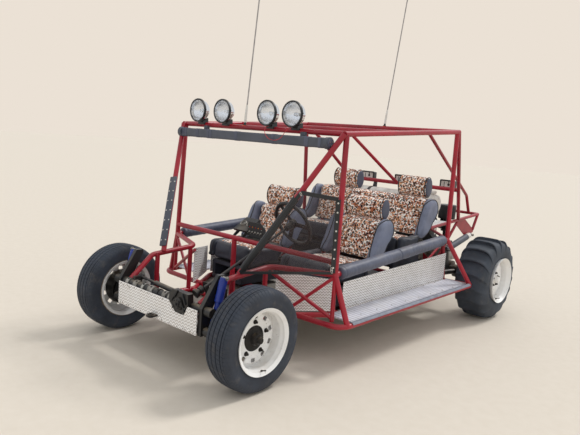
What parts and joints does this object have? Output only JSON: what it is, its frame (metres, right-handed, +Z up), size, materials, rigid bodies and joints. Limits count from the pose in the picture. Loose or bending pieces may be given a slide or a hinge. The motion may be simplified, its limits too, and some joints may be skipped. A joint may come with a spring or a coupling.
{
  "type": "dune buggy",
  "caption": "Tube-frame off-road buggy with seats in two rows, steered front wheels, paddle rear tyres, side boards and an open rear engine bay.",
  "frame": {"origin": "on the ground, under the middle of the vehicle's overall length and width", "axes": "+X to the vehicle's left (driver's) side, +Y to the rear, +Z up"},
  "size_m": [2.134, 3.777, 2.8608],
  "materials": {
    "red_paint": "glossy, chipped at the joints",
    "ribbed_aluminium": "ribbed planks, dusty",
    "tread_plate": "raised tread pattern",
    "black_steel": "satin, dusty",
    "blue_paint": "gloss",
    "cast_alloy": "cast, oily",
    "grey_vinyl": "soft foam padding under vinyl",
    "black_rubber": "matt",
    "lamp_chrome": "polished",
    "lamp_glass": "clear, ribbed behind",
    "white_tank": "satin, dusty",
    "grey_plastic": "matt",
    "white_fibreglass": "smooth",
    "tinted_net": "see-through mesh",
    "printed_fabric": "spotted print centre with grey vinyl sides",
    "tyre": "worn, dusty",
    "white_paint": "gloss"
  },
  "bodies": {
    "frame": {"side_rails": "red_paint", "cross_tubes": "red_paint", "side_hoops": "red_paint", "windscreen_posts": "red_paint", "uprights": "red_paint", "cage_rails": "red_paint", "cage_braces": "red_paint", "frame_horns": "red_paint", "side_braces": "red_paint", "board_rails": "red_paint", "board_braces": "red_paint", "running_boards": "ribbed_aluminium", "side_panels": "tread_plate", "floor_pan": "tread_plate", "nose_panel": "tread_plate", "tow_tab": "black_steel", "axle_beam": "black_steel", "front_arms": "black_steel", "steering_gear": "black_steel", "shock_absorbers": "blue_paint", "rear_arms": "black_steel", "transaxle": "cast_alloy", "engine": "cast_alloy", "rear_tray": "ribbed_aluminium", "controls": "black_steel", "seat_frames": "black_steel", "waist_pads": "grey_vinyl", "post_channels": "black_rubber", "lamps": "lamp_chrome", "light_bar": "grey_plastic", "whip_masts": "white_fibreglass", "side_net": "tinted_net", "front_seats": "printed_fabric", "rear_bench": "printed_fabric", "shock_gussets": "red_paint", "half_shafts": "black_steel", "fan_housing": "black_steel", "air_cleaners": "black_steel", "exhaust": "black_steel", "lamp_stands": "black_rubber", "lamp_lenses": "lamp_glass", "instrument_panel": "grey_plastic", "fuel_tank": "white_tank", "tank_straps": "black_steel"},
    "knuckle_left": {"knuckle_left": "black_steel"},
    "knuckle_right": {"knuckle_right": "black_steel"},
    "front_left_wheel": {"front_left_tyre": "tyre", "front_left_rim": "white_paint", "front_left_hub": "black_steel"},
    "front_right_wheel": {"front_right_tyre": "tyre", "front_right_rim": "white_paint", "front_right_hub": "black_steel"},
    "rear_left_wheel": {"rear_left_tyre": "tyre", "rear_left_rim": "white_paint"},
    "rear_right_wheel": {"rear_right_tyre": "tyre", "rear_right_rim": "white_paint"},
    "steering_wheel": {"steering_wheel": "black_rubber"},
    "tie_rods": {"tie_rods": "black_steel"}
  },
  "joints": [
    {"name": "steer_left", "type": "hinge", "parent": "frame", "child": "knuckle_left", "pos_m": [0.565, -1.5705, 0.318], "axis": [0, 0, 1], "range_deg": [-28, 28]},
    {"name": "steer_right", "type": "hinge", "parent": "frame", "child": "knuckle_right", "pos_m": [-0.565, -1.5705, 0.318], "axis": [0, 0, 1], "range_deg": [-28, 28]},
    {"name": "tie_rod_slide", "type": "slide", "parent": "frame", "child": "tie_rods", "axis": [1, 0, 0], "range_m": [-0.0353, 0.0353]},
    {"name": "steering_column", "type": "hinge", "parent": "frame", "child": "steering_wheel", "pos_m": [0.4, -0.9335, 0.92], "axis": [0.0862, 0.8828, 0.4617], "range_deg": [-253, 253]},
    {"name": "front_left_spin", "type": "hinge", "parent": "knuckle_left", "child": "front_left_wheel", "pos_m": [0.723, -1.5705, 0.318], "axis": [1, 0, 0], "continuous": true},
    {"name": "front_right_spin", "type": "hinge", "parent": "knuckle_right", "child": "front_right_wheel", "pos_m": [-0.723, -1.5705, 0.318], "axis": [1, 0, 0], "continuous": true},
    {"name": "rear_left_spin", "type": "hinge", "parent": "frame", "child": "rear_left_wheel", "pos_m": [0.895, 1.2845, 0.37], "axis": [1, 0, 0], "continuous": true},
    {"name": "rear_right_spin", "type": "hinge", "parent": "frame", "child": "rear_right_wheel", "pos_m": [-0.895, 1.2845, 0.37], "axis": [1, 0, 0], "continuous": true}
  ],
  "couplings": [
    {"joint": "steer_right", "follows": "steer_left", "ratio": 1},
    {"joint": "tie_rod_slide", "follows": "steer_left", "m_per_rad": 0.0722},
    {"joint": "steering_column", "follows": "steer_left", "ratio": 9}
  ]
}
